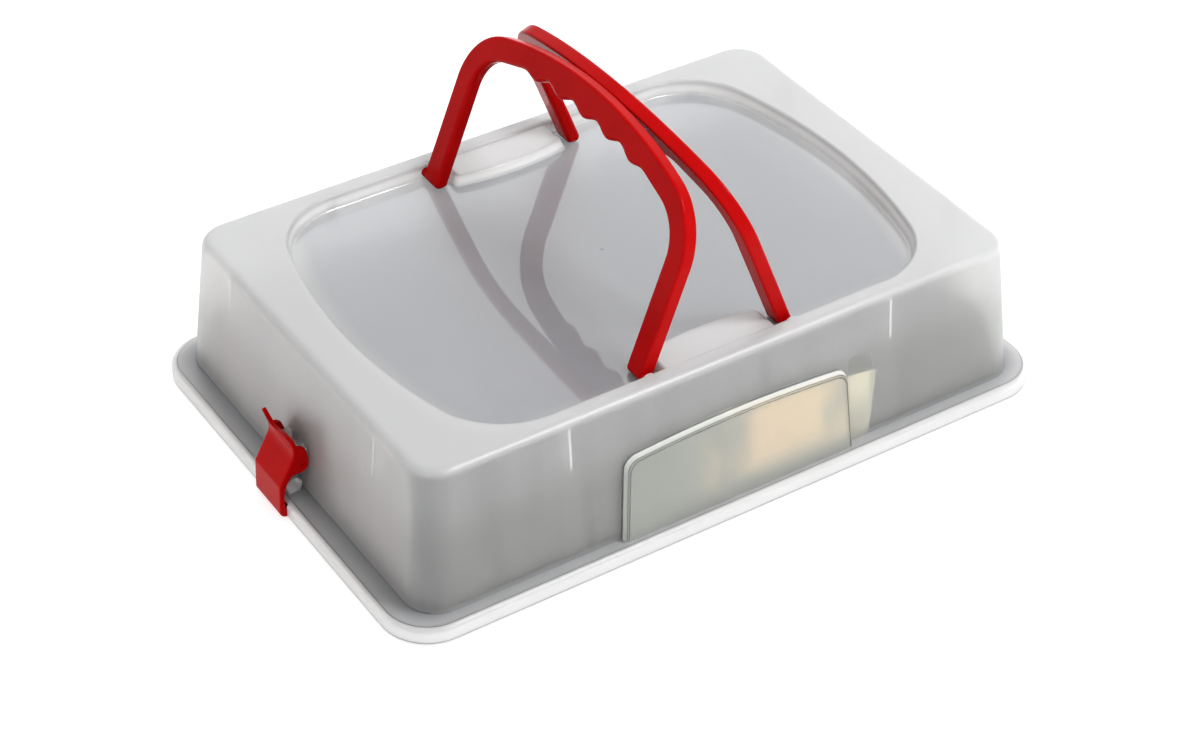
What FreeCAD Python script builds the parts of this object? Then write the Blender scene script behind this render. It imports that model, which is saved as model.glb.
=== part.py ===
import FreeCAD, Part
import os
from math import sin, cos, tan, radians, degrees, sqrt, hypot, atan2, pi

# Baking pan with a carrying lid.
# Frame: millimetres, +X along the length, +Y to the back, +Z up.
# Origin: centre of the footprint on the table.  The pan is stowed upside
# down inside the lid, so the whole thing stands on the pan's rim at z = 0.

V = FreeCAD.Vector

# ----------------------------------------------------------------- lid sizes
SKIRT_HX, SKIRT_HY, SKIRT_R = 200.0, 138.0, 26.6   # outer edge of the lid
SKIRT_Z = 1.4              # lower edge of the skirt above the table
FLANGE_Z = 9.7             # top of the flange
FLANGE_T = 1.5             # flange and skirt thickness
SHOULDER_R = 3.0           # outer edge of the flange
WALL_HX, WALL_HY, WALL_R = 186.75, 128.64, 18.4    # wall foot, at FLANGE_Z
TOP_HX, TOP_HY, TOP_R = 179.54, 120.76, 18.0       # wall top, at TOP_Z
TOP_Z = 90.9
TOP_FILLET = 5.65
WALL_T = 1.8

# sunk top
REC_HY = 109.5             # straight long sides
REC_HX = 155.0             # crown of the curved short sides
REC_END_R = 285.0          # radius of those short sides
REC_COR_R = 45.0           # corner radius
REC_FLOOR_Z = 82.9
REC_DRAFT = 1.8            # the recess wall leans in by this much to the floor
REC_TOP_FILLET = 1.9
REC_FOOT_FILLET = 1.5

# ledges between the handle feet, along both long sides of the recess
LEDGE_TOP_Z = 89.2
LEDGE_FOOT = (36.5, 89.5, 85.3)    # end x, end y, middle y at the floor
LEDGE_TOP = (33.4, 91.8, 88.4)     # the same at the top
LEDGE_CORNER, LEDGE_EDGE = 5.0, 1.6

# raised window pad on the front wall
PAD_OUT = 4.4              # how far it stands proud of the wall
PAD_HB, PAD_HT = 72.0, 69.2        # half width at the foot and high up
PAD_ZC, PAD_ZE = 61.7, 58.3        # top edge: middle and ends
PAD_CORNER = 8.0
PAD_STEP = 1.4             # its edge leans in by this much
PAD_EDGE = 0.5             # rounded edge of its face
PAD_LINE = (0.7, 0.7, 0.4)         # engraved line: inset from the edge, width, depth
PAD_LINE_Z = 9.95          # its lowest run, just above the flange

# stacking ribs inside the walls
RIB_T = 1.2
RIB_X, RIB_Y = 98.0, 75.0
RIB_FOOT_Z = 62.0
RIB_REACH = 7.4

# --------------------------------------------------------------- handle sizes
PIV_X, PIV_Z = 43.65, 85.95         # pivot axes run along Y
LEAN_L, LEAN_R = 21.10, 21.76       # degrees from upright, towards each other
H_Y0, H_Y1, H_R1, H_R0 = 106.0, 104.9, 86.6, 107.8
H_CORNER = 38.2            # outer corner radius
H_W = 13.6                 # width of leg and grip in the plane of the bail
H_BACK, H_FRONT = 2.85, 4.9         # faces, measured from the pins' plane
H_EDGE, H_EDGE_IN = 1.4, 2.5        # rounded edges: outer outline, finger side
GRIP_N, GRIP_PITCH = 2, 22.0       # bumps either side of the middle one
GRIP_TIP = (89.6, 89.1, 87.6)      # radius of the bump tips, middle outwards
GRIP_DIP = (92.9, 92.2)            # radius of the grooves between them
PIN_R, PIN_HOLE_R = 2.6, 2.8
PIN_END = 112.6

# ----------------------------------------------------------------- clip sizes
CLIP_HW = 13.6             # half width
CLIP_T = 2.4
CLIP_PIV_X, CLIP_PIV_Z = 189.1, 31.7
CLIP_EAR_T = 2.3
CLIP_EDGE = 0.8
CLIP_PIN_R, CLIP_BORE_R = 2.0, 2.15
# outer face of the clip's plate, from the hook up to the tab (x outwards)
CLIP_FACE = [(203.6, 4.4), (202.85, 20.8), (199.16, 27.4), (195.3, 34.3),
             (193.75, 39.3), (194.4, 43.6), (195.9, 48.4), (196.9, 51.6)]
CLIP_CREASE_R = 4.0
# upper edge of the tab (y, z): a tall horn on one side, then a long sweep
CLIP_TOP = [(14.6, 52.6), (13.6, 51.4), (12.9, 49.6), (12.3, 46.2), (10.8, 43.6), (8.2, 42.7),
            (4.6, 43.3), (0.6, 44.7), (-3.6, 46.2), (-8.0, 47.5), (-11.6, 47.9), (-13.2, 47.2),
            (-14.6, 45.4)]

# ------------------------------------------------------------------ pan sizes
PAN_T = 0.8
PAN_HX, PAN_HY, PAN_R = 183.4, 125.2, 22.0         # mouth, on the table
PAN_BX, PAN_BY, PAN_BR = 176.6, 118.4, 22.0        # base
PAN_DEPTH = 48.4
PAN_EDGE_R = 11.0
RIM_FLAT = 4.0             # flat fold around the mouth
BEAD_HX, BEAD_HY, BEAD_R = 195.1, 132.9, 21.7      # centre line of the wire
BEAD_Z = 5.8
WIRE_R = 1.25
ROLL_RI, ROLL_RO = 1.32, 2.1

# ----------------------------------------------------------------- card sizes
CARD_W, CARD_H, CARD_T = 125.0, 45.0, 0.35
CARD_X, CARD_Z = 25.3, 33.1
CARD_TURN = 7.5            # degrees clockwise, seen from the front
CARD_GAP = 0.2             # off the wall's inner face


# ------------------------------------------------------------------- helpers
def rr(hx, hy, r, z):
    """Rounded rectangle wire, 4 lines and 4 arcs, always in one order."""
    k = r * (1 - 1 / sqrt(2))
    p = [V(hx, -hy + r, z), V(hx, hy - r, z), V(hx - r, hy, z), V(-hx + r, hy, z),
         V(-hx, hy - r, z), V(-hx, -hy + r, z), V(-hx + r, -hy, z), V(hx - r, -hy, z)]
    m = [V(hx - k, hy - k, z), V(-hx + k, hy - k, z), V(-hx + k, -hy + k, z), V(hx - k, -hy + k, z)]
    e = []
    for i in range(4):
        e.append(Part.makeLine(p[2 * i], p[2 * i + 1]))
        e.append(Part.Arc(p[2 * i + 1], m[i], p[(2 * i + 2) % 8]).toShape())
    return Part.Wire(e)


def loft(*wires):
    s = Part.makeLoft(list(wires), True, True)
    return s if s.Volume > 0 else s.reversed()


def prism(wire, dz):
    return Part.Face(wire).extrude(V(0, 0, dz))


def edges_at(shape, z, tol=1e-4):
    return [e for e in shape.Edges
            if abs(e.BoundBox.ZMin - z) < tol and abs(e.BoundBox.ZMax - z) < tol]


def one(shape):
    """The single clean solid of a boolean result."""
    s = shape.removeSplitter()
    return s.Solids[0] if len(s.Solids) == 1 else s


def wall_x(z):
    return WALL_HX - (z - FLANGE_Z) * (WALL_HX - TOP_HX) / (TOP_Z - FLANGE_Z)


def wall_y(z):
    return WALL_HY - (z - FLANGE_Z) * (WALL_HY - TOP_HY) / (TOP_Z - FLANGE_Z)


def wall_r(z):
    return WALL_R - (z - FLANGE_Z) * (WALL_R - TOP_R) / (TOP_Z - FLANGE_Z)


def recess(off, z):
    """Outline of the sunk top, moved outwards by off."""
    hy, rc, re = REC_HY + off, REC_COR_R + off, REC_END_R + off
    ex = REC_HX - REC_END_R                    # centre of the end arc
    cy = REC_HY - REC_COR_R
    cx = ex + sqrt((REC_END_R - REC_COR_R) ** 2 - cy ** 2)
    ux, uy = (cx - ex) / (REC_END_R - REC_COR_R), cy / (REC_END_R - REC_COR_R)
    tx, ty = ex + re * ux, re * uy
    a = atan2(uy, ux)
    b = (a + pi / 2) / 2
    mx, my = cx + rc * cos(b), cy + rc * sin(b)
    e = [Part.Arc(V(tx, -ty, z), V(ex + re, 0, z), V(tx, ty, z)).toShape(),
         Part.Arc(V(tx, ty, z), V(mx, my, z), V(cx, hy, z)).toShape(),
         Part.makeLine(V(cx, hy, z), V(-cx, hy, z)),
         Part.Arc(V(-cx, hy, z), V(-mx, my, z), V(-tx, ty, z)).toShape(),
         Part.Arc(V(-tx, ty, z), V(-ex - re, 0, z), V(-tx, -ty, z)).toShape(),
         Part.Arc(V(-tx, -ty, z), V(-mx, -my, z), V(-cx, -hy, z)).toShape(),
         Part.makeLine(V(-cx, -hy, z), V(cx, -hy, z)),
         Part.Arc(V(cx, -hy, z), V(mx, -my, z), V(tx, -ty, z)).toShape()]
    return Part.Wire(e)


def ledge(foot, top, z0, z1, back, s, corner):
    """Lens-shaped step against the recess wall on side s (+1 back, -1 front)."""
    def w(q, z):
        ex, ey, my = q
        return Part.Wire([
            Part.Arc(V(-ex, s * ey, z), V(0, s * my, z), V(ex, s * ey, z)).toShape(),
            Part.makeLine(V(ex, s * ey, z), V(ex, s * back, z)),
            Part.makeLine(V(ex, s * back, z), V(-ex, s * back, z)),
            Part.makeLine(V(-ex, s * back, z), V(-ex, s * ey, z))])
    b = loft(w(foot, z0), w(top, z1))
    up = [e for e in b.Edges if e.BoundBox.ZLength > 1.0
          and abs(e.BoundBox.YMin + e.BoundBox.YMax) / 2 < back - 5.0]
    return b.makeFillet(corner, up)


def mirror_x(s):
    return s.mirror(V(0, 0, 0), V(1, 0, 0))


def mirror_y(s):
    return s.mirror(V(0, 0, 0), V(0, 1, 0))


def turned(s):
    """Half a turn about the vertical: the same moulding on the other side."""
    c = s.copy()
    c.rotate(V(0, 0, 0), V(0, 0, 1), 180)
    return c


def pad_outline(shrink, depth, z0):
    """Outline of the window pad on a plane parallel to the front wall, depth
    in front of it: a foot line at z0, two sides and an arched top."""
    hb, ht = PAD_HB - shrink, PAD_HT - shrink
    zc, ze = PAD_ZC - shrink, PAD_ZE - shrink
    n = hypot(1.0, (WALL_HY - TOP_HY) / (TOP_Z - FLANGE_Z))

    def P(x, z):
        return V(x, -(wall_y(z) + depth * n), z)
    # arched top through (-ht, ze) (0, zc) (ht, ze) with rounded ends
    s = zc - ze
    R = (ht * ht + s * s) / (2 * s)
    rc = PAD_CORNER - shrink / 2
    # corner circle inside, tangent to the side line and the top arch
    cxx = ht - rc
    cz = (zc - R) + sqrt((R - rc) ** 2 - cxx ** 2)
    u = (cxx / (R - rc), (cz - (zc - R)) / (R - rc))
    T2 = (cxx + rc * u[0], cz + rc * u[1])
    am = atan2(u[1], u[0]) / 2
    M = (cxx + rc * cos(am), cz + rc * sin(am))
    pts = [P(-hb, z0), P(-ht, cz), P(-M[0], M[1]), P(-T2[0], T2[1]), P(0, zc),
           P(T2[0], T2[1]), P(M[0], M[1]), P(ht, cz), P(hb, z0)]
    return Part.Wire([Part.makeLine(pts[0], pts[1]),
                      Part.Arc(pts[1], pts[2], pts[3]).toShape(),
                      Part.Arc(pts[3], pts[4], pts[5]).toShape(),
                      Part.Arc(pts[5], pts[6], pts[7]).toShape(),
                      Part.makeLine(pts[7], pts[8]),
                      Part.makeLine(pts[8], pts[0])])


def pad_solid(out, grow):
    """Window pad: a slab following the front wall.  out is how far its face
    stands proud, grow moves its edges outwards."""
    z0 = FLANGE_Z - 1.2
    k = PAD_STEP / PAD_OUT
    return loft(pad_outline(-2.6 * k - grow, -2.6, z0), pad_outline(out * k - grow, out, z0))


def pad_line():
    """Engraved line that frames the pad's face."""
    inset, width, depth = PAD_LINE
    a = PAD_STEP + inset
    f, g = PAD_OUT - depth, PAD_OUT + 2.0
    z1 = PAD_LINE_Z
    ring = loft(pad_outline(a, f, z1), pad_outline(a, g, z1))
    b = a + width
    return ring.cut(loft(pad_outline(b, f - 1.0, z1 + width), pad_outline(b, g + 1.0, z1 + width)))


def lid_shell():
    z0 = FLANGE_Z - 1.0
    outer = loft(rr(wall_x(z0), wall_y(z0), wall_r(z0), z0), rr(TOP_HX, TOP_HY, TOP_R, TOP_Z))
    outer = outer.makeFillet(TOP_FILLET, edges_at(outer, TOP_Z))
    brim = prism(rr(SKIRT_HX, SKIRT_HY, SKIRT_R, SKIRT_Z), FLANGE_Z - SKIRT_Z)
    brim = brim.makeFillet(SHOULDER_R, edges_at(brim, FLANGE_Z))
    t = WALL_T
    zi = TOP_Z - t
    zb = -2.0
    inner = loft(rr(wall_x(zb) - t, wall_y(zb) - t, wall_r(zb) - t, zb),
                 rr(wall_x(zi) - t, wall_y(zi) - t, wall_r(zi) - t, zi))
    inner = inner.makeFillet(TOP_FILLET - t, edges_at(inner, zi))
    ft = FLANGE_T
    under = prism(rr(SKIRT_HX - ft, SKIRT_HY - ft, SKIRT_R - ft, zb), FLANGE_Z - ft - zb)
    under = under.makeFillet(SHOULDER_R - ft, edges_at(under, FLANGE_Z - ft))

    pad = pad_solid(PAD_OUT, 0.0)
    front = [e for e in pad.Edges if all(abs(-v.Y - wall_y(v.Z) - PAD_OUT * hypot(
        1.0, (WALL_HY - TOP_HY) / (TOP_Z - FLANGE_Z))) < 1e-3 for v in e.Vertexes)
        and e.BoundBox.ZMax > FLANGE_Z]
    pad = pad.makeFillet(PAD_EDGE, front)
    pad_hollow = pad_solid(PAD_OUT - t, -t)

    # recess: what is cut away above, and the same body grown by the wall
    d = REC_DRAFT / (TOP_Z - REC_FLOOR_Z)
    cut = loft(recess(-REC_DRAFT, REC_FLOOR_Z), recess(0.0, TOP_Z))
    foot = edges_at(cut, REC_FLOOR_Z)
    cut = cut.makeFillet(REC_FOOT_FILLET, foot)
    slab = prism(recess(8.0, TOP_Z), 6.0)
    keep_z = REC_FLOOR_Z - t
    keep = loft(recess(-REC_DRAFT - t * d + t, keep_z), recess(t + 3.0 * d, TOP_Z + 3.0))
    keep = keep.makeFillet(REC_FOOT_FILLET + 0.6, edges_at(keep, keep_z))
    for s in (1, -1):
        led = ledge(LEDGE_FOOT, LEDGE_TOP, REC_FLOOR_Z - 1.0, LEDGE_TOP_Z, 116.0, s, LEDGE_CORNER)
        top_edges = [e for e in edges_at(led, LEDGE_TOP_Z)
                     if abs(abs(e.BoundBox.YMax + e.BoundBox.YMin) / 2) < 115]
        led = led.makeFillet(LEDGE_EDGE, top_edges)
        cut = cut.cut(led)
        ti = t - 0.1
        f = (LEDGE_FOOT[0] - t, LEDGE_FOOT[1] + t, LEDGE_FOOT[2] + t)
        g = (LEDGE_TOP[0] - t, LEDGE_TOP[1] + t, LEDGE_TOP[2] + t)
        hol = ledge(f, g, keep_z - 1.0, LEDGE_TOP_Z - ti, 113.6, s, LEDGE_CORNER - t)
        keep = keep.cut(hol)
    cut = cut.fuse(slab).removeSplitter()
    rim = []
    for e in cut.Edges:
        b = e.BoundBox
        if abs(b.ZMin - TOP_Z) < 1e-3 and abs(b.ZMax - TOP_Z) < 1e-3 and b.XMax < REC_HX + 1 \
                and b.XMin > -REC_HX - 1 and b.YMax < REC_HY + 1 and b.YMin > -REC_HY - 1:
            rim.append(e)
    cut = cut.makeFillet(REC_TOP_FILLET, rim)

    cavity = inner.fuse([under, pad_hollow]).cut(keep)
    body = outer.fuse([brim, pad]).removeSplitter()
    body = body.cut(cavity).cut(cut).cut(pad_line())

    # bosses behind the recess wall take the handles' pins
    extra = []
    for sx in (1, -1):
        for s in (1, -1):
            b = Part.makeCylinder(4.7, 4.6, V(sx * PIV_X, s * 108.8, PIV_Z), V(0, s, 0))
            extra.append(b)
    # stacking ribs: long walls, then short walls
    for sx in (1, -1):
        for s in (1, -1):
            yw = wall_y(RIB_FOOT_Z) - 0.8
            yt = wall_y(88.9) - 0.8
            w = Part.makePolygon([V(0, s * yw, RIB_FOOT_Z), V(0, s * (yw - 5.4), RIB_FOOT_Z),
                                  V(0, s * (yt - RIB_REACH), 70.0), V(0, s * (yt - RIB_REACH), 90.0),
                                  V(0, s * (wall_y(90.0) - 3.6), 90.0), V(0, s * (wall_y(86.5) - 0.8), 86.5),
                                  V(0, s * yw, RIB_FOOT_Z)])
            f = Part.Face(w).extrude(V(RIB_T, 0, 0))
            f.translate(V(sx * RIB_X - RIB_T / 2, 0, 0))
            extra.append(f)
            xw = wall_x(RIB_FOOT_Z) - 0.8
            xt = wall_x(88.9) - 0.8
            w = Part.makePolygon([V(s * xw, 0, RIB_FOOT_Z), V(s * (xw - 5.4), 0, RIB_FOOT_Z),
                                  V(s * (xt - RIB_REACH), 0, 70.0), V(s * (xt - RIB_REACH), 0, 90.0),
                                  V(s * (wall_x(90.0) - 3.6), 0, 90.0), V(s * (wall_x(86.5) - 0.8), 0, 86.5),
                                  V(s * xw, 0, RIB_FOOT_Z)])
            f = Part.Face(w).extrude(V(0, RIB_T, 0))
            f.translate(V(0, sx * RIB_Y - RIB_T / 2, 0))
            extra.append(f)
    # clip carriers on the short walls: two lugs with a cross bore, and the
    # small round-topped stop that stands on the flange between them
    for s in (1, -1):
        for y0 in (-10.5, 6.3):
            c = Part.makeCylinder(3.4, 4.2, V(s * CLIP_PIV_X, y0, CLIP_PIV_Z), V(0, 1, 0))
            xi = 182.0
            w = Part.makePolygon([V(s * xi, y0, CLIP_PIV_Z - 7.0), V(s * (CLIP_PIV_X + 1.6), y0, CLIP_PIV_Z - 3.0),
                                  V(s * (CLIP_PIV_X + 0.6), y0, CLIP_PIV_Z + 3.3),
                                  V(s * xi, y0, CLIP_PIV_Z + 6.0), V(s * xi, y0, CLIP_PIV_Z - 7.0)])
            lug = Part.Face(w).extrude(V(0, 4.2, 0)).fuse(c).removeSplitter()
            # only what lies outside the middle of the wall
            lug = lug.cut(inner)
            extra.append(lug)
        st = Part.makeCylinder(4.5, 17.2, V(s * 192.2, -8.6, 14.3), V(0, 1, 0))
        st = st.fuse(Part.makeBox(6.4, 17.2, 4.4, V(s * 192.2 - 3.2, -8.6, 8.9))).removeSplitter()
        st = st.common(Part.makeBox(30, 20, 20, V(s * 192.2 - 15, -10, 8.9)))
        extra.append(st)
    body = body.fuse(extra).removeSplitter()

    # small dimple where the moulding was fed, in the middle of the sunk top
    holes = [Part.makeCone(0.9, 1.5, 0.7, V(0, 0, REC_FLOOR_Z - 0.35))]
    for sx in (1, -1):
        for s in (1, -1):
            holes.append(Part.makeCylinder(PIN_HOLE_R, 12.0, V(sx * PIV_X, s * 104.0, PIV_Z), V(0, s, 0)))
    for s in (1, -1):
        holes.append(Part.makeCylinder(CLIP_BORE_R, 24.0, V(s * CLIP_PIV_X, -12.0, CLIP_PIV_Z), V(0, 1, 0)))
        # the skirt is open where the clip stands, so that its hook swings under
        w = CLIP_HW + 0.6
        for x0, z1 in ((SKIRT_HX - FLANGE_T, FLANGE_Z - FLANGE_T), (198.9, FLANGE_Z + 1.0)):
            holes.append(Part.makeBox(4.0, 2 * w, z1 - 0.6, V(x0 if s > 0 else -x0 - 4.0, -w, 0.6)))
    body = body.cut(Part.makeCompound(holes))
    return one(body)


# -------------------------------------------------------------------- handles
def outline_pts():
    """Outer outline of half a bail (y >= 0): foot, fillet ends, apex."""
    s = H_R0 - H_R1
    Ra = (H_Y1 ** 2 + s * s) / (2 * s)
    rc = H_R0 - Ra
    L = hypot(H_Y1 - H_Y0, H_R1)
    d = ((H_Y1 - H_Y0) / L, H_R1 / L)
    n = (-d[1], d[0])
    q = (H_Y0 + n[0] * H_CORNER, n[1] * H_CORNER)
    w = (q[0], q[1] - rc)
    b = w[0] * d[0] + w[1] * d[1]
    c = w[0] ** 2 + w[1] ** 2 - (Ra - H_CORNER) ** 2
    t = -b + sqrt(b * b - c)
    K = (q[0] + t * d[0], q[1] + t * d[1])
    v = (K[0], K[1] - rc)
    vl = hypot(*v)
    v = (v[0] / vl, v[1] / vl)
    return dict(Ra=Ra, rc=rc, d=d, n=n, K=K, v=v)


def bail():
    """One bail standing upright in the YZ plane, pivot axis at the origin."""
    o = outline_pts()
    K, n, v, Ra, rc = o["K"], o["n"], o["v"], o["Ra"], o["rc"]

    def P(y, r):
        return V(0, y, r)

    def on(off):
        R = H_CORNER - off
        T1 = (K[0] - n[0] * R, K[1] - n[1] * R)
        T2 = (K[0] + v[0] * R, K[1] + v[1] * R)
        m = ((v[0] - n[0]), (v[1] - n[1]))
        ml = hypot(*m)
        M = (K[0] + m[0] / ml * R, K[1] + m[1] / ml * R)
        F = (H_Y0 + n[0] * off, n[1] * off)
        return F, T1, M, T2
    F, T1, M, T2 = on(0.0)
    Fi, T1i, Mi, T2i = on(H_W)
    yg = GRIP_PITCH * (GRIP_N + 0.5) + 10.0     # where the plain grip begins
    Ri = Ra - H_W
    low = sqrt(Ri * Ri - T2i[0] ** 2) + rc
    # finger grooves: a smooth curve through tips and dips
    pts = []
    for i in range(-GRIP_N, GRIP_N + 1):
        tip = GRIP_TIP[abs(i)]
        pts.append((i * GRIP_PITCH, tip))
        if i < GRIP_N:
            dip = GRIP_DIP[0 if i in (-1, 0) else 1]
            pts.append(((i + 0.5) * GRIP_PITCH, dip))
    # the ends run back to the plain inner outline near the corners
    ye = T2i[0]
    re = T2i[1]
    side = [(52.6, 88.9), (59.5, 87.6)]
    tail = [(y, r) for y, r in side]
    full = [(-ye, re)] + [(-y, r) for y, r in reversed(tail)] + pts + tail + [(ye, re)]
    # keep the points in order and let the curve start along the corner arc
    full = [p for p in full]
    tang = (-v[1], v[0])                        # along the outline at T2i
    g = Part.BSplineCurve()
    P3 = [P(y, r) for y, r in full]
    g.interpolate(Points=P3, InitialTangent=V(0, -tang[0], tang[1]) * 1.0,
                  FinalTangent=V(0, -tang[0], -tang[1]) * 1.0)
    e = [Part.makeLine(P(*F), P(*T1)),
         Part.Arc(P(*T1), P(*M), P(*T2)).toShape(),
         Part.Arc(P(*T2), P(0, H_R0), P(-T2[0], T2[1])).toShape(),
         Part.Arc(P(-T2[0], T2[1]), P(-M[0], M[1]), P(-T1[0], T1[1])).toShape(),
         Part.makeLine(P(-T1[0], T1[1]), P(-F[0], F[1])),
         Part.makeLine(P(-F[0], F[1]), P(-Fi[0], Fi[1])),
         Part.makeLine(P(-Fi[0], Fi[1]), P(-T1i[0], T1i[1])),
         Part.Arc(P(-T1i[0], T1i[1]), P(-Mi[0], Mi[1]), P(-T2i[0], T2i[1])).toShape(),
         g.toShape(),
         Part.Arc(P(*T2i), P(*Mi), P(*T1i)).toShape(),
         Part.makeLine(P(*T1i), P(*Fi)),
         Part.makeLine(P(*Fi), P(*F))]
    w = Part.Wire(Part.__sortEdges__(e))
    body = Part.Face(w).extrude(V(H_BACK + H_FRONT, 0, 0))
    body.translate(V(-H_BACK, 0, 0))
    lim = [x for x in body.Edges
           if (abs(x.BoundBox.XMax - x.BoundBox.XMin) < 1e-6
               and x.BoundBox.ZMax > 3.0)]

    def outer(x):
        """Is this edge on the outer outline rather than the finger side?"""
        if x.BoundBox.YMax > 100 or x.BoundBox.YMin < -100:
            return True
        return x.BoundBox.ZMax > 100.0
    body = body.makeFillet(H_EDGE, [x for x in lim if outer(x)])
    lim = [x for x in body.Edges
           if (abs(x.BoundBox.XMax - x.BoundBox.XMin) < 1e-6
               and x.BoundBox.ZMax > 3.0 and x.BoundBox.ZMax < 96.0
               and x.BoundBox.YMax < H_Y0 - H_W + 1.0 and x.BoundBox.YMin > -H_Y0 + H_W - 1.0)]
    body = body.makeFillet(H_EDGE_IN, lim)
    # rounded feet: each leg ends in a round about its pin that runs on, clear
    # of the floor of the recess, to a larger round on its thicker side
    feet = []
    k = 0.04
    hb, hf = H_BACK - k, H_FRONT - k
    t = radians(LEAN_R)
    low = (hb * sin(t), -hb * cos(t))
    prof = Part.Wire([
        Part.makeLine(V(-hb, 0, 2.6), V(-hb, 0, 0)),
        Part.Arc(V(-hb, 0, 0), V(hb * cos(pi * 1.25), 0, hb * sin(pi * 1.25)), V(low[0], 0, low[1])).toShape(),
        Part.Arc(V(low[0], 0, low[1]), V(3.75, 0, -0.95), V(hf, 0, 1.9)).toShape(),
        Part.makeLine(V(hf, 0, 1.9), V(hf, 0, 2.6)),
        Part.makeLine(V(hf, 0, 2.6), V(-hb, 0, 2.6))])
    for s in (1, -1):
        a, b = F[0], Fi[0]
        c = Part.Face(prof).extrude(V(0, a - b - 0.12, 0))
        c.translate(V(0, b + 0.06 if s > 0 else -a + 0.06, 0))
        for side_y, rad in ((s * (a - 0.06), H_EDGE), (s * (b + 0.06), H_EDGE_IN - 0.05)):
            ed = [x for x in c.Edges if abs(x.BoundBox.YMax - side_y) < 1e-5
                  and abs(x.BoundBox.YMin - side_y) < 1e-5 and x.BoundBox.ZMin < 2.5]
            c = c.makeFillet(rad, ed)
        feet.append(c)
        p = Part.makeCylinder(PIN_R, PIN_END - a + 3.0, V(0, s * (a - 3.0), 0), V(0, s, 0))
        pe = [x for x in p.Edges if abs(abs(x.BoundBox.YMax) - PIN_END) < 1e-6
              and abs(x.BoundBox.YMax - x.BoundBox.YMin) < 1e-6
              or abs(abs(x.BoundBox.YMin) - PIN_END) < 1e-6
              and abs(x.BoundBox.YMax - x.BoundBox.YMin) < 1e-6]
        p = p.makeChamfer(0.7, pe)
        feet.append(p)
    return one(body.fuse(feet))


def handle(side):
    b = bail() if side < 0 else mirror_x(bail())
    lean = LEAN_L if side < 0 else LEAN_R
    b.rotate(V(0, 0, 0), V(0, 1, 0), -side * lean)
    b.translate(V(side * PIV_X, 0, PIV_Z))
    return b


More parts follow.
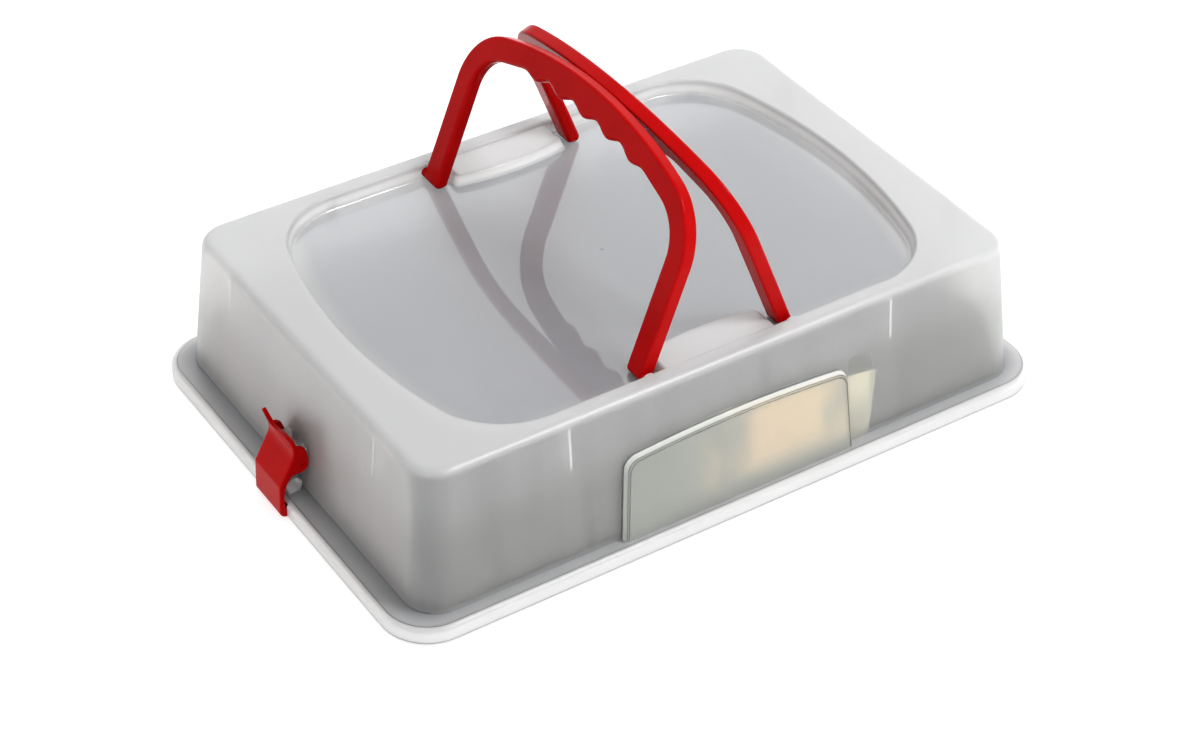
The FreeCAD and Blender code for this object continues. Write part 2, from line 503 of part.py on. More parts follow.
# ---------------------------------------------------------------------- clips
def clip():
    """The clip of the -X side."""
    hw = CLIP_HW
    # inner face: the outer one moved in by the plate's thickness
    n = []
    for i, p in enumerate(CLIP_FACE):
        a = CLIP_FACE[max(i - 1, 0)]
        b = CLIP_FACE[min(i + 1, len(CLIP_FACE) - 1)]

        def unit(u):
            l = hypot(*u)
            return (u[0] / l, u[1] / l)
        u0 = unit((p[0] - a[0], p[1] - a[1])) if i else unit((b[0] - p[0], b[1] - p[1]))
        u1 = unit((b[0] - p[0], b[1] - p[1])) if i < len(CLIP_FACE) - 1 else u0
        m = unit((u0[0] + u1[0], u0[1] + u1[1]))
        k = CLIP_T / max(0.5, (m[0] * u0[0] + m[1] * u0[1]))
        n.append((p[0] - m[1] * k, p[1] + m[0] * k))

    def at(x, z):
        return V(-x, -hw, z)
    fo = [at(*q) for q in CLIP_FACE]
    fi = [at(*q) for q in n]
    # flat below the crease and above it, then one smooth curve up to the tab
    so = Part.BSplineCurve()
    so.interpolate(Points=fo[3:], InitialTangent=fo[3] - fo[1], FinalTangent=fo[-1] - fo[-2])
    si = Part.BSplineCurve()
    si.interpolate(Points=fi[3:], InitialTangent=fi[3] - fi[2], FinalTangent=fi[-1] - fi[-2])
    # the crease is a short arc tangent to both flats
    u0, u1 = (fo[1] - fo[0]).normalize(), (fo[3] - fo[1]).normalize()
    ang = u0.getAngle(u1)
    tl = CLIP_CREASE_R * tan(ang / 2)
    ca, cb = fo[1] - u0 * tl, fo[1] + u1 * tl
    bis = (u1 - u0).normalize()
    cm = fo[1] + bis * (CLIP_CREASE_R / cos(ang / 2) - CLIP_CREASE_R)
    # hook: rounded foot, tangent to the face and to the table, and a lip
    # under the rim
    q0 = at(201.0, 10.6)
    fx, fz = CLIP_FACE[0]
    dx, dz = CLIP_FACE[0][0] - CLIP_FACE[1][0], CLIP_FACE[0][1] - CLIP_FACE[1][1]
    dl = hypot(dx, dz)
    R = (fz - 0.15) / (1 + dx / dl)
    cx, cz = fx + R * dz / dl, fz - R * dx / dl
    foot = Part.Arc(fo[0], at(cx + R * cos(radians(-44)), cz + R * sin(radians(-44))),
                    at(cx, cz - R)).toShape()
    root = Part.Arc(q0, at(200.0, 6.2), at(197.6, 2.35)).toShape()
    lip = [at(cx, cz - R), at(196.0, 0.15), at(194.9, 0.6), at(194.2, 1.7), at(194.6, 2.3),
           at(197.6, 2.35)]
    e = [Part.makeLine(fo[0], ca), Part.Arc(ca, cm, cb).toShape(), Part.makeLine(cb, fo[3]),
         so.toShape(), Part.makeLine(fo[-1], fi[-1]), si.toShape(),
         Part.makeLine(fi[3], fi[2]), Part.makeLine(fi[2], fi[1]), Part.makeLine(fi[1], q0),
         root, foot]
    e += [Part.makeLine(p, q) for p, q in zip(lip[:-1], lip[1:])]
    w = Part.Wire(Part.__sortEdges__(e))
    plate = Part.Face(w).extrude(V(0, 2 * hw, 0))
    # long edges of the outer face are rounded
    rim = []
    for x in plate.Edges:
        bb = x.BoundBox
        if bb.YLength > 1e-6 or abs(abs(bb.YMax) - hw) > 1e-6:
            continue
        pm = x.valueAt((x.FirstParameter + x.LastParameter) / 2)
        on_face = any(c.distToShape(Part.Vertex(V(pm.x, -hw, pm.z)))[0] < 1e-4
                      for c in e[:4] + [foot])
        if on_face:
            rim.append(x)
    plate = plate.makeFillet(CLIP_EDGE, rim)
    # upper edge: one horn, and a thumb scoop that runs out to the other side
    sc = [V(-212, y, z) for y, z in CLIP_TOP]
    g = Part.BSplineCurve()
    g.interpolate(sc)
    up = [sc[-1], V(-212, sc[-1].y, 60), V(-212, sc[0].y, 60), sc[0]]
    ws = Part.Wire([g.toShape()] + [Part.makeLine(p, q) for p, q in zip(up[:-1], up[1:])])
    plate = plate.cut(Part.Face(ws).extrude(V(40, 0, 0)))
    # the sides carry on inwards as two ears that hold the pins
    parts = [plate]
    px, pz = -CLIP_PIV_X, CLIP_PIV_Z
    ear = [(-202.0, 10.0), (-201.4, 20.4), (-198.0, 26.6), (-194.2, 33.6), (-192.4, 38.6), (-192.2, 41.6),
           (-190.3, 41.6), (-188.7, 41.0), (-187.2, 39.7), (-186.25, 37.2), (-185.6, 34.0),
           (-185.35, 30.6), (-185.6, 28.0), (-186.9, 26.2), (-189.1, 25.4), (-192.0, 25.3),
           (-195.0, 25.4), (-196.6, 24.4), (-198.6, 21.4), (-200.0, 17.6), (-200.6, 13.0), (-200.4, 9.6)]
    for s in (1, -1):
        y = s * (hw - CLIP_EAR_T)
        w = Part.makePolygon([V(x, y, z) for x, z in ear + [ear[0]]])
        b = Part.Face(w).extrude(V(0, s * CLIP_EAR_T, 0))
        b = b.makeFillet(0.5, [x for x in b.Edges if abs(abs(x.BoundBox.YMax) - hw) < 1e-6
                               and x.BoundBox.YLength < 1e-6
                               and x.BoundBox.XMin > -200.0 and x.BoundBox.XMax > -191.0])
        parts.append(b)
        # pin on the ear's inner face
        pin = Part.makeCylinder(CLIP_PIN_R, 3.9 + 0.6, V(px, s * (hw - CLIP_EAR_T + 0.6), pz), V(0, -s, 0))
        ed = [x for x in pin.Edges if abs(x.BoundBox.YMax - x.BoundBox.YMin) < 1e-6
              and abs(abs(x.BoundBox.YMax) - (hw - CLIP_EAR_T - 3.9)) < 1e-6]
        pin = pin.makeChamfer(0.4, ed)
        parts.append(pin)
    body = parts[0].fuse(parts[1:]).removeSplitter()
    # round dimple over each pin
    for s in (1, -1):
        body = body.cut(Part.makeCylinder(CLIP_PIN_R, 0.5, V(px, s * (hw - 0.5), pz), V(0, s, 0)))
    return one(body)


# ------------------------------------------------------------------------ pan
def pan():
    t = PAN_T
    out = loft(rr(PAN_HX, PAN_HY, PAN_R, 0.0), rr(PAN_BX, PAN_BY, PAN_BR, PAN_DEPTH))
    out = out.makeFillet(PAN_EDGE_R, edges_at(out, PAN_DEPTH))
    k = (PAN_HX - PAN_BX) / PAN_DEPTH
    zi = PAN_DEPTH - t
    inn = loft(rr(PAN_HX - t + k * 2, PAN_HY - t + k * 2, PAN_R - t, -2.0),
               rr(PAN_BX - t + k * t, PAN_BY - t + k * t, PAN_BR - t, zi))
    inn = inn.makeFillet(PAN_EDGE_R - t, edges_at(inn, zi))
    flat = prism(rr(PAN_HX + RIM_FLAT, PAN_HY + RIM_FLAT, PAN_R + RIM_FLAT - 1.0, 0.0), t)
    # sloping fold from the flat rim up to the rolled edge
    a = 0.6
    z1 = BEAD_Z - 0.9
    hx1, hy1, r1 = BEAD_HX - 1.2, BEAD_HY - 1.2, BEAD_R - 1.2
    h0, g0, r0 = PAN_HX + RIM_FLAT - a, PAN_HY + RIM_FLAT - a, PAN_R + RIM_FLAT - 1.0 - a
    s_out = loft(rr(h0 + 0.2, g0 + 0.2, r0 + 0.2, 0.0), rr(hx1 + 0.5, hy1 + 0.5, r1 + 0.5, z1))
    s_in = loft(rr(h0 - 0.9, g0 - 0.9, r0 - 0.9, 0.0), rr(hx1 - 0.6, hy1 - 0.6, r1 - 0.6, z1))
    slope = s_out.cut(s_in)
    # rolled edge around the wire, open on the inside where the sheet ends
    path = rr(BEAD_HX, BEAD_HY, BEAD_R, BEAD_Z)
    c = V(BEAD_HX, 0, BEAD_Z)

    def pt(r, deg):
        return c + V(r * cos(radians(deg)), 0, r * sin(radians(deg)))
    a0, a1 = -155.0, 148.0
    am = (a0 + a1) / 2
    sec = Part.Wire([Part.Arc(pt(ROLL_RO, a0), pt(ROLL_RO, am), pt(ROLL_RO, a1)).toShape(),
                     Part.makeLine(pt(ROLL_RO, a1), pt(ROLL_RI, a1)),
                     Part.Arc(pt(ROLL_RI, a1), pt(ROLL_RI, am), pt(ROLL_RI, a0)).toShape(),
                     Part.makeLine(pt(ROLL_RI, a0), pt(ROLL_RO, a0))])
    roll = ring(sec)
    body = out.fuse([flat, slope]).cut(inn)
    # keep the wire's room free
    room = ring(Part.Wire([Part.makeCircle(ROLL_RI, c, V(0, 1, 0))]))
    body = body.cut(room).fuse(roll)
    return one(body)


def ring(section):
    """Carry a section (in the XZ plane at y = 0) round the bead's centre line:
    straight runs and quarter turns."""
    f = Part.Face(section)
    hx, hy, r = BEAD_HX, BEAD_HY, BEAD_R
    pieces = []
    a = f.copy()
    a.translate(V(0, -(hy - r), 0))
    pieces.append(a.extrude(V(0, 2 * (hy - r), 0)))
    b = f.copy()
    b.translate(V(0, hy - r, 0))
    pieces.append(b.revolve(V(hx - r, hy - r, 0), V(0, 0, 1), 90))
    c = f.copy()
    c.rotate(V(0, 0, 0), V(0, 0, 1), 90)         # now in the YZ plane at x = 0
    c.translate(V(0, hy - hx, 0))
    c.translate(V(hx - r, 0, 0))
    pieces.append(c.extrude(V(-2 * (hx - r), 0, 0)))
    half = pieces[0].fuse([pieces[1], pieces[2]])
    q = pieces[1]
    q2 = mirror_x(q)
    q3 = mirror_y(q)
    q4 = mirror_y(q2)
    s2 = mirror_x(pieces[0])
    s3 = mirror_y(pieces[2])
    return pieces[0].fuse([pieces[1], pieces[2], q2, q3, q4, s2, s3]).removeSplitter()


def wire():
    c = V(BEAD_HX, 0, BEAD_Z)
    return one(ring(Part.Wire([Part.makeCircle(WIRE_R, c, V(0, 1, 0))])))


def card():
    slope = atan2(WALL_HY - TOP_HY, TOP_Z - FLANGE_Z)
    b = Part.makeBox(CARD_W, CARD_T, CARD_H, V(-CARD_W / 2, 0, -CARD_H / 2))
    b.rotate(V(0, 0, 0), V(0, 1, 0), CARD_TURN)
    b.rotate(V(0, 0, 0), V(1, 0, 0), -degrees(slope))
    n = hypot(1.0, tan(slope))
    y = -(wall_y(CARD_Z) - (WALL_T + CARD_GAP) * n)
    b.translate(V(CARD_X, y, CARD_Z))
    return b


def build():
    left = clip()
    return {
        "lid_shell": lid_shell(),
        "handle_left": handle(-1),
        "handle_right": handle(1),
        "clip_left": left,
        "clip_right": turned(left),
        "pan_body": pan(),
        "pan_rim_wire": wire(),
        "label_card": card(),
    }


if __name__ == "__main__":
    os.makedirs("parts", exist_ok=True)
    for name, shape in build().items():
        bb = shape.BoundBox
        print(name, "valid", shape.isValid(), "solids", len(shape.Solids),
              "vol %.1f cm3" % (shape.Volume / 1000.0),
              "x %.1f..%.1f y %.1f..%.1f z %.1f..%.1f" % (bb.XMin, bb.XMax, bb.YMin, bb.YMax, bb.ZMin, bb.ZMax))
        shape.exportStep("parts/" + name + ".step")
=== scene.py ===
import math

import bpy
from mathutils import Matrix, Vector

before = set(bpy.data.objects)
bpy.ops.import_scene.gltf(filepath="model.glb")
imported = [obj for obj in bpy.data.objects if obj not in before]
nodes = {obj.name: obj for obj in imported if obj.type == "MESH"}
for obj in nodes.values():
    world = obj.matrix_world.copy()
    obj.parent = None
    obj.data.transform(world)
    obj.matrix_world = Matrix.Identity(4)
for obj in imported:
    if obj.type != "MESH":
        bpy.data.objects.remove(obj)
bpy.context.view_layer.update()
scene = bpy.context.scene

# ---------------------------------------------------------------- view
scene.view_settings.view_transform = "Standard"
scene.view_settings.look = "None"
scene.view_settings.exposure = 0.0
scene.view_settings.gamma = 1.0


def add_camera():
    az, el, roll = (math.radians(v) for v in (-33.552, 38.318, 0.683))
    back = Vector((math.sin(az) * math.cos(el), -math.cos(az) * math.cos(el), math.sin(el)))
    right = (-back).cross(Vector((0, 0, 1))).normalized()
    up = right.cross(-back)
    r2 = right * math.cos(roll) + up * math.sin(roll)
    u2 = -right * math.sin(roll) + up * math.cos(roll)
    target = Vector((-0.001068, -0.001377, 0.000414))
    place = target + back * 1.50922
    cam = bpy.data.cameras.new("camera")
    cam.sensor_width = 36.0
    cam.lens = 2768.9 * 36.0 / 1200.0
    cam.clip_end = 20.0
    ob = bpy.data.objects.new("camera", cam)
    m = Matrix((r2, u2, back)).transposed().to_4x4()
    m.translation = place
    ob.matrix_world = m
    scene.collection.objects.link(ob)
    scene.camera = ob


add_camera()

# ---------------------------------------------------------------- node helpers


class Tree:
    """Small helper that builds a material's node tree."""

    def __init__(self, name):
        self.mat = bpy.data.materials.new(name)
        self.mat.use_nodes = True
        self.nt = self.mat.node_tree
        self.nt.nodes.clear()
        self.out = self.nt.nodes.new("ShaderNodeOutputMaterial")

    def node(self, kind, **props):
        n = self.nt.nodes.new(kind)
        for k, v in props.items():
            setattr(n, k, v)
        return n

    def set(self, socket, value):
        if isinstance(value, bpy.types.NodeSocket):
            self.nt.links.new(value, socket)
        else:
            socket.default_value = value

    def math(self, op, a, b=0.0, c=None, clamp=False):
        n = self.node("ShaderNodeMath", operation=op, use_clamp=clamp)
        self.set(n.inputs[0], a)
        self.set(n.inputs[1], b)
        if c is not None:
            self.set(n.inputs[2], c)
        return n.outputs[0]

    def coords(self):
        return self.node("ShaderNodeTexCoord").outputs["Object"]

    def split(self, vec):
        n = self.node("ShaderNodeSeparateXYZ")
        self.set(n.inputs[0], vec)
        return n.outputs

    def noise(self, vec, scale, detail=3.0, rough=0.5, distortion=0.0):
        n = self.node("ShaderNodeTexNoise")
        self.set(n.inputs["Vector"], vec)
        n.inputs["Scale"].default_value = scale
        n.inputs["Detail"].default_value = detail
        n.inputs["Roughness"].default_value = rough
        n.inputs["Distortion"].default_value = distortion
        return n.outputs["Fac"]

    def remap(self, value, a, b, c, d, smooth=False):
        n = self.node("ShaderNodeMapRange")
        if smooth:
            n.interpolation_type = "SMOOTHSTEP"
        self.set(n.inputs["Value"], value)
        n.inputs["From Min"].default_value = a
        n.inputs["From Max"].default_value = b
        n.inputs["To Min"].default_value = c
        n.inputs["To Max"].default_value = d
        return n.outputs[0]

    def mix(self, fac, a, b):
        n = self.node("ShaderNodeMix", data_type="RGBA")
        self.set(n.inputs["Factor"], fac)
        self.set(n.inputs["A"], a)
        self.set(n.inputs["B"], b)
        return n.outputs["Result"]

    def stretch(self, vec, x, y, z):
        n = self.node("ShaderNodeMapping")
        self.set(n.inputs["Vector"], vec)
        n.inputs["Scale"].default_value = (x, y, z)
        return n.outputs[0]

    def bump(self, height, strength, distance, normal=None):
        n = self.node("ShaderNodeBump")
        self.set(n.inputs["Height"], height)
        n.inputs["Strength"].default_value = strength
        n.inputs["Distance"].default_value = distance
        if normal is not None:
            self.set(n.inputs["Normal"], normal)
        return n.outputs[0]

    def principled(self, **values):
        n = self.node("ShaderNodeBsdfPrincipled")
        for k, v in values.items():
            self.set(n.inputs[k.replace("_", " ")], v)
        self.nt.links.new(n.outputs[0], self.out.inputs["Surface"])
        return n


def band(t, v, lo, hi, soft):
    """1 where lo < v < hi, with soft ends."""
    a = t.remap(v, lo - soft, lo + soft, 0.0, 1.0, smooth=True)
    b = t.remap(v, hi - soft, hi + soft, 1.0, 0.0, smooth=True)
    return t.math("MULTIPLY", a, b)


# ---------------------------------------------------------------- materials


def lid_plastic():
    """Frosted polypropylene. The sunk panel of the top is polished, the rest is satin."""
    t = Tree("lid_plastic")
    co = t.coords()
    x, y, z = t.split(co)
    ax, ay = t.math("ABSOLUTE", x), t.math("ABSOLUTE", y)
    polished = t.math("MULTIPLY", band(t, z, 0.0818, 0.0836, 0.0004),
                      t.math("MULTIPLY", t.remap(ax, 0.155, 0.157, 1, 0), t.remap(ay, 0.1095, 0.111, 1, 0)))
    cloud = t.noise(co, 14.0, 4.0, 0.55)
    flow = t.noise(t.stretch(co, 1.0, 1.0, 0.35), 60.0, 3.0, 0.5)
    drawn = t.noise(t.stretch(co, 1.0, 1.0, 0.05), 75.0, 3.0, 0.6)
    grain = t.noise(co, 1400.0, 2.0, 0.6)
    wall = band(t, z, 0.013, 0.086, 0.003)
    tone = t.math("ADD", t.math("MULTIPLY", cloud, 0.6), t.math("MULTIPLY", flow, 0.4))
    pale = t.mix(t.remap(tone, 0.3, 0.7, 0, 1), (0.89, 0.892, 0.888, 1), (0.95, 0.952, 0.948, 1))
    dull = t.mix(t.remap(tone, 0.3, 0.7, 0, 1), (0.72, 0.73, 0.708, 1), (0.79, 0.80, 0.775, 1))
    # painted light: the walls at the left end, near the clip, are painted lighter and pinker, for light passing through
    # the lid and red light thrown from the clip
    painted_left_glow = t.math("MULTIPLY", t.remap(x, -0.172, -0.180, 0, 1, True), t.remap(ay, 0.095, 0.118, 1, 0, True))
    dull = t.mix(painted_left_glow, dull, (0.845, 0.815, 0.80, 1))
    pale = t.mix(t.math("MULTIPLY", painted_left_glow, 0.7), pale, (0.97, 0.945, 0.935, 1))
    # painted light and shade: the walls are painted paler towards their top edge and at the flange and skirt below 13
    # mm, and darker in between
    painted_wall_light = t.math("MAXIMUM", t.remap(z, 0.044, 0.076, 0, 1, True), t.remap(z, 0.009, 0.013, 1, 0, True))
    colour = t.mix(painted_wall_light, dull, pale)
    colour = t.mix(t.math("MULTIPLY", wall, t.remap(drawn, 0.45, 0.66, 0, 0.06, True)), colour, (0.66, 0.665, 0.655, 1))
    # thicker or edge-on places scatter more: flange, frame of the top, rim of the window pad, inner ribs
    ex = t.math("MAXIMUM", t.math("SUBTRACT", ax, 0.1734), 0.0)
    ey = t.math("MAXIMUM", t.math("SUBTRACT", ay, 0.1114), 0.0)
    inset = t.math("SUBTRACT", 0.0266, t.math("SQRT", t.math("ADD", t.math("MULTIPLY", ex, ex), t.math("MULTIPLY", ey, ey))))
    low = t.remap(z, 0.0100, 0.0125, 1, 0, True)
    skirt = t.math("MULTIPLY", low, t.remap(inset, 0.0026, 0.0034, 1, 0, True))
    flange = t.math("MULTIPLY", low, t.remap(inset, 0.0034, 0.0044, 0, 1, True))
    # painted shade: the frame of the top is painted a darker grey than the walls
    colour = t.mix(t.remap(z, 0.0868, 0.0900, 0, 0.88, True), colour, (0.56, 0.563, 0.568, 1))
    # painted shade: the flange is painted darker next to the wall and lighter towards its outer edge
    shade = t.mix(t.remap(inset, 0.0045, 0.0128, 0, 1, True), (0.86, 0.86, 0.87, 1), (0.62, 0.625, 0.645, 1))
    colour = t.mix(flange, colour, shade)
    # painted shade: dark lines are painted along the outer shoulder of the flange and in the crease where the wall
    # meets the flange
    crease_shade = t.math("MAXIMUM", t.math("MULTIPLY", low, band(t, inset, 0.0030, 0.0035, 0.0002)),
                  t.math("MULTIPLY", band(t, z, 0.0098, 0.0107, 0.0002), t.remap(inset, 0.0118, 0.0122, 0, 1)))
    colour = t.mix(t.math("MULTIPLY", crease_shade, 0.85), colour, (0.28, 0.28, 0.285, 1))
    # painted shade: the bottom 2 mm of the skirt is painted dark grey, for the shadow where it meets the floor
    colour = t.mix(t.remap(z, 0.0019, 0.0023, 0.7, 0), colour, (0.40, 0.40, 0.41, 1))
    # painted shade: the rounded corners of the walls are painted slightly darker and bluer
    corner = t.math("MULTIPLY", wall, t.math("MULTIPLY", t.remap(ax, 0.166, 0.178, 0, 1, True), t.remap(ay, 0.108, 0.120, 0, 1, True)))
    colour = t.mix(t.math("MULTIPLY", corner, 0.15), colour, (0.62, 0.64, 0.71, 1))
    inside = t.math("MULTIPLY", t.remap(ax, 0.158, 0.160, 1, 0), t.remap(ay, 0.1110, 0.1125, 1, 0))
    frame_top = t.math("MAXIMUM", t.remap(z, 0.0866, 0.0900, 0, 1, True),
                       t.math("MULTIPLY", inside, t.remap(z, 0.0838, 0.0860, 0, 1, True)))
    cove = t.math("MULTIPLY", inside, band(t, z, 0.0833, 0.0848, 0.0003))
    proud = t.math("SUBTRACT", t.math("MULTIPLY", y, -1.0), t.math("MULTIPLY_ADD", z, -0.09704, 0.12958))
    touch = t.math("MULTIPLY", t.remap(y, -0.112, -0.116, 0, 1),
                   t.math("MULTIPLY", band(t, x, 0.071, 0.0855, 0.0015), t.math("MULTIPLY", t.remap(z, 0.020, 0.044, 0, 1, True),
                                                                                    t.remap(z, 0.0598, 0.0622, 1, 0))))
    on_pad = t.math("MULTIPLY", t.remap(ax, 0.076, 0.078, 1, 0), t.remap(z, 0.0100, 0.0104, 0, 1))
    # painted shade: thin dark lines along the foot and the top edge of the window pad's rim
    pad_edge_shade = t.math("MULTIPLY", on_pad, t.math("MAXIMUM", band(t, proud, 0.0004, 0.0013, 0.0001),
                                                 band(t, proud, 0.0037, 0.0043, 0.0001)))
    window = t.math("MULTIPLY", on_pad, t.remap(proud, 0.0020, 0.0024, 0, 1))
    colour = t.mix(touch, colour, (0.92, 0.92, 0.89, 1))
    glow = t.noise(t.stretch(co, 1.0, 1.0, 0.75), 44.0, 0.8, 0.4, 0.2)
    glow = t.math("MULTIPLY", t.remap(glow, 0.33, 0.58, 0.12, 0.85, True),
                  t.math("MULTIPLY", band(t, x, -0.020, 0.080, 0.012), band(t, z, 0.019, 0.060, 0.006)))
    colour = t.mix(window, colour, t.mix(glow, (0.76, 0.772, 0.735, 1), (0.99, 0.92, 0.80, 1)))
    # painted shade: the dark lines along the window pad's rim
    colour = t.mix(t.math("MULTIPLY", pad_edge_shade, 0.9), colour, (0.22, 0.23, 0.21, 1))
    # painted reflection and shade: the polished floor of the sunk top is painted a darker grey in its middle and
    # lighter near its edges, where the walls are mirrored
    px = t.math("ADD", ax, 0.130)
    arc = t.math("SQRT", t.math("ADD", t.math("MULTIPLY", px, px), t.math("MULTIPLY", y, y)))
    painted_floor_edge = t.math("MAXIMUM", t.remap(arc, 0.271, 0.282, 0, 1, True), t.remap(ay, 0.096, 0.107, 0, 1, True))
    colour = t.mix(polished, colour, t.mix(painted_floor_edge, (0.47, 0.487, 0.525, 1), (0.64, 0.645, 0.655, 1)))
    rib = t.math("MULTIPLY", band(t, z, 0.064, 0.0885, 0.002),
                 t.math("MAXIMUM", t.math("MULTIPLY", band(t, ax, 0.0973, 0.0987, 0.0005), t.remap(ay, 0.112, 0.116, 0, 1)),
                        t.math("MULTIPLY", band(t, ay, 0.0743, 0.0757, 0.0005), t.remap(ax, 0.170, 0.174, 0, 1))))
    pad_rim = t.math("MULTIPLY", on_pad, band(t, proud, 0.0011, 0.0036, 0.0002))
    solid = t.math("MAXIMUM", t.math("MAXIMUM", t.math("MULTIPLY", flange, 0.12), t.math("MULTIPLY", skirt, 0.22)), t.math("MAXIMUM", t.math("MULTIPLY", frame_top, 0.35), t.math("MULTIPLY", cove, 0.15)))
    solid = t.math("MAXIMUM", solid, t.math("MAXIMUM", t.math("MULTIPLY", pad_rim, 0.45), t.math("MULTIPLY", rib, 0.30)))
    solid = t.math("ADD", solid, t.math("MULTIPLY", wall, t.remap(drawn, 0.40, 0.70, 0.012, -0.012)))
    clear = t.math("SUBTRACT", t.math("MULTIPLY_ADD", t.math("MAXIMUM", window, touch), 0.06, t.math("MULTIPLY_ADD", polished, -0.08, 0.87)), solid)
    rough = t.remap(t.math("ADD", flow, t.math("MULTIPLY", grain, 0.5)), 0.5, 1.0, 0.34, 0.40)
    normal = t.bump(t.math("ADD", grain, t.math("MULTIPLY", flow, 1.5)), 0.25, 0.00012)
    t.principled(Base_Color=colour, Roughness=rough, IOR=1.49, Transmission_Weight=clear,
                 Normal=normal, Coat_Weight=polished, Coat_Roughness=0.035,
                 Coat_IOR=1.55)
    return t.mat


def red_plastic():
    t = Tree("red_plastic")
    co = t.coords()
    cloud = t.noise(co, 35.0, 4.0, 0.55)
    grain = t.noise(co, 1800.0, 2.0, 0.6)
    colour = t.mix(t.remap(cloud, 0.3, 0.7, 0, 1), (0.315, 0.0007, 0.0009, 1), (0.37, 0.0014, 0.0018, 1))
    rough = t.remap(t.math("ADD", cloud, t.math("MULTIPLY", grain, 0.4)), 0.4, 0.9, 0.13, 0.22)
    normal = t.bump(t.math("ADD", grain, t.math("MULTIPLY", cloud, 2.0)), 0.18, 0.0001)
    t.principled(Base_Color=colour, Roughness=rough, IOR=1.45, Specular_IOR_Level=0.045, Normal=normal)
    return t.mat


def pan_coating():
    t = Tree("pan_coating")
    co = t.coords()
    cloud = t.noise(co, 22.0, 4.0, 0.6)
    peel = t.noise(co, 900.0, 2.0, 0.5)
    fleck = t.node("ShaderNodeTexVoronoi")
    t.set(fleck.inputs["Vector"], co)
    fleck.inputs["Scale"].default_value = 1600.0
    spark = t.remap(fleck.outputs["Distance"], 0.0, 0.16, 1.0, 0.0)
    colour = t.mix(t.remap(cloud, 0.3, 0.7, 0, 1), (0.026, 0.026, 0.027, 1), (0.040, 0.040, 0.041, 1))
    colour = t.mix(t.math("MULTIPLY", spark, 0.5), colour, (0.16, 0.16, 0.165, 1))
    rough = t.remap(t.math("ADD", cloud, t.math("MULTIPLY", peel, 0.4)), 0.4, 0.9, 0.34, 0.46)
    normal = t.bump(peel, 0.25, 0.00012)
    t.principled(Base_Color=colour, Roughness=rough, Specular_IOR_Level=0.45, Normal=normal)
    return t.mat


def rim_wire():
    t = Tree("rim_wire")
    co = t.coords()
    cloud = t.noise(co, 60.0, 3.0, 0.5)
    grain = t.noise(co, 2500.0, 2.0, 0.6)
    colour = t.mix(t.remap(cloud, 0.3, 0.7, 0, 1), (0.42, 0.42, 0.43, 1), (0.56, 0.56, 0.57, 1))
    rough = t.remap(t.math("ADD", cloud, t.math("MULTIPLY", grain, 0.5)), 0.5, 1.0, 0.28, 0.42)
    t.principled(Base_Color=colour, Metallic=1.0, Roughness=rough, Normal=t.bump(grain, 0.2, 0.00005))
    return t.mat


def card():
    """Printed card with nothing on it but soft blots of colour, paler towards its right end."""
    t = Tree("card")
    co = t.coords()
    x, y, z = t.split(co)
    blots = t.noise(t.stretch(co, 1.0, 1.0, 1.1), 17.0, 0.6, 0.4, 0.3)
    blots2 = t.noise(t.stretch(co, 1.3, 1.0, 1.0), 24.0, 0.5, 0.4)
    fibre = t.noise(co, 1500.0, 3.0, 0.6)
    ground = t.mix(t.remap(x, -0.020, 0.060, 0, 1, True), (0.20, 0.21, 0.17, 1), (0.50, 0.46, 0.33, 1))
    printed = t.math("MULTIPLY", t.remap(x, -0.022, 0.004, 0, 1, True), t.remap(z, 0.014, 0.028, 0, 1, True))
    colour = t.mix(t.math("MULTIPLY", printed, t.remap(blots, 0.42, 0.58, 0.15, 1.0, True)), ground, (1.0, 0.82, 0.48, 1))
    colour = t.mix(t.math("MULTIPLY", printed, t.remap(blots2, 0.52, 0.64, 0, 0.6, True)), colour, (1.0, 0.66, 0.44, 1))
    colour = t.mix(t.remap(x, 0.060, 0.072, 0, 1, True), colour, (1.0, 0.93, 0.70, 1))
    rough = t.remap(fibre, 0.3, 0.7, 0.42, 0.56)
    t.principled(Base_Color=colour, Roughness=rough, Normal=t.bump(fibre, 0.2, 0.00005))
    return t.mat


def dress(ob, mat):
    ob.data.materials.clear()
    ob.data.materials.append(mat)


LID, RED, PAN, WIRE, CARD = lid_plastic(), red_plastic(), pan_coating(), rim_wire(), card()
for name, mat in (("lid_shell", LID), ("handle_left", RED), ("handle_right", RED), ("clip_left", RED),
                  ("clip_right", RED), ("pan_body", PAN), ("pan_rim_wire", WIRE), ("label_card", CARD)):
    dress(nodes[name], mat)

# ---------------------------------------------------------------- floor and light


def add_floor():
    size, n = 3.0, 4
    verts = [((i / n - 0.5) * 2 * size, (j / n - 0.5) * 2 * size, -0.0002) for j in range(n + 1) for i in range(n + 1)]
    faces = [(j * (n + 1) + i, j * (n + 1) + i + 1, (j + 1) * (n + 1) + i + 1, (j + 1) * (n + 1) + i)
             for j in range(n) for i in range(n)]
    me = bpy.data.meshes.new("floor")
    me.from_pydata(verts, [], faces)
    ob = bpy.data.objects.new("floor", me)
    scene.collection.objects.link(ob)
    t = Tree("floor")
    tone = t.noise(t.coords(), 3.0, 2.0, 0.5)
    t.principled(Base_Color=t.mix(tone, (0.50, 0.50, 0.50, 1), (0.52, 0.52, 0.52, 1)), Roughness=0.7,
                 Specular_IOR_Level=0.2, Emission_Color=(1, 1, 1, 1), Emission_Strength=0.64)
    ob.data.materials.append(t.mat)


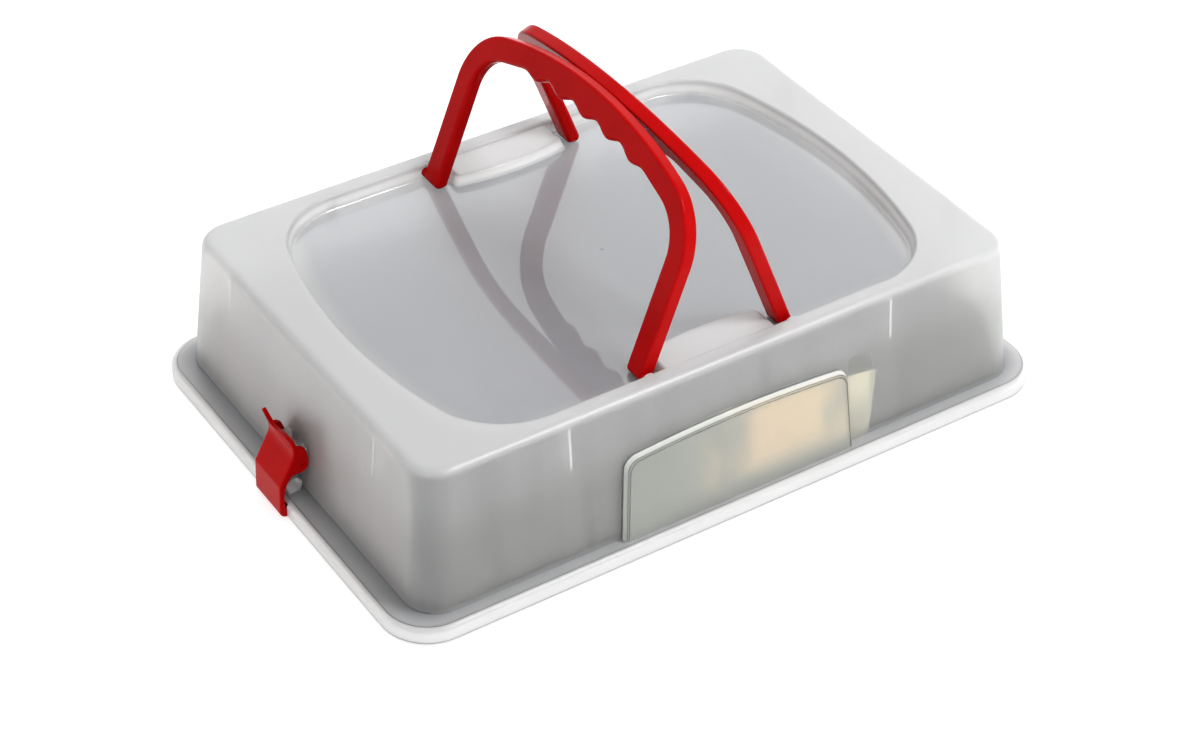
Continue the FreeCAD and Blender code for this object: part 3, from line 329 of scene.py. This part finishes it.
def add_world():
    """Soft studio light: a wash that grows to the right and up, a wide lamp behind, faint ones in front and at the left."""
    w = bpy.data.worlds.new("studio")
    scene.world = w
    w.use_nodes = True
    nt = w.node_tree
    nt.nodes.clear()
    out = nt.nodes.new("ShaderNodeOutputWorld")
    bg = nt.nodes.new("ShaderNodeBackground")
    tc = nt.nodes.new("ShaderNodeTexCoord")

    def lobe(direction, lo, hi, a, b):
        dot = nt.nodes.new("ShaderNodeVectorMath")
        dot.operation = "DOT_PRODUCT"
        dot.inputs[1].default_value = Vector(direction).normalized()
        nt.links.new(tc.outputs["Generated"], dot.inputs[0])
        mr = nt.nodes.new("ShaderNodeMapRange")
        mr.interpolation_type = "SMOOTHSTEP"
        for key, v in (("From Min", lo), ("From Max", hi), ("To Min", a), ("To Max", b)):
            mr.inputs[key].default_value = v
        nt.links.new(dot.outputs["Value"], mr.inputs["Value"])
        return mr.outputs[0]

    def plus(a, b):
        n = nt.nodes.new("ShaderNodeMath")
        n.operation = "ADD"
        nt.links.new(a, n.inputs[0])
        nt.links.new(b, n.inputs[1])
        return n.outputs[0]

    cosd = lambda v: math.cos(math.radians(v))
    wash = lobe((0.80, 0.25, 0.55), -0.9, 0.9, 0.70, 1.00)
    back = lobe((0.4486, 0.676, 0.584), cosd(34), cosd(16), 0.0, 1.0)
    front = lobe((0.10, -0.97, 0.22), cosd(62), cosd(12), 0.0, 0.34)
    side = lobe((-0.97, -0.12, 0.20), cosd(64), cosd(12), 0.0, 0.44)
    nt.links.new(plus(plus(plus(wash, back), front), side), bg.inputs["Strength"])
    bg.inputs["Color"].default_value = (1, 1, 1, 1)
    nt.links.new(bg.outputs[0], out.inputs["Surface"])


def add_lamp():
    """Small soft lamp overhead, for the thin highlights along rounded edges."""
    lamp = bpy.data.lights.new("overhead", "AREA")
    lamp.shape = "SQUARE"
    lamp.size = 0.36
    lamp.energy = 15.0
    ob = bpy.data.objects.new("overhead", lamp)
    ob.location = (0.50, -0.58, 1.30)
    ob.rotation_euler = (math.radians(24), math.radians(20), 0.0)
    scene.collection.objects.link(ob)


add_floor()
add_world()
add_lamp()
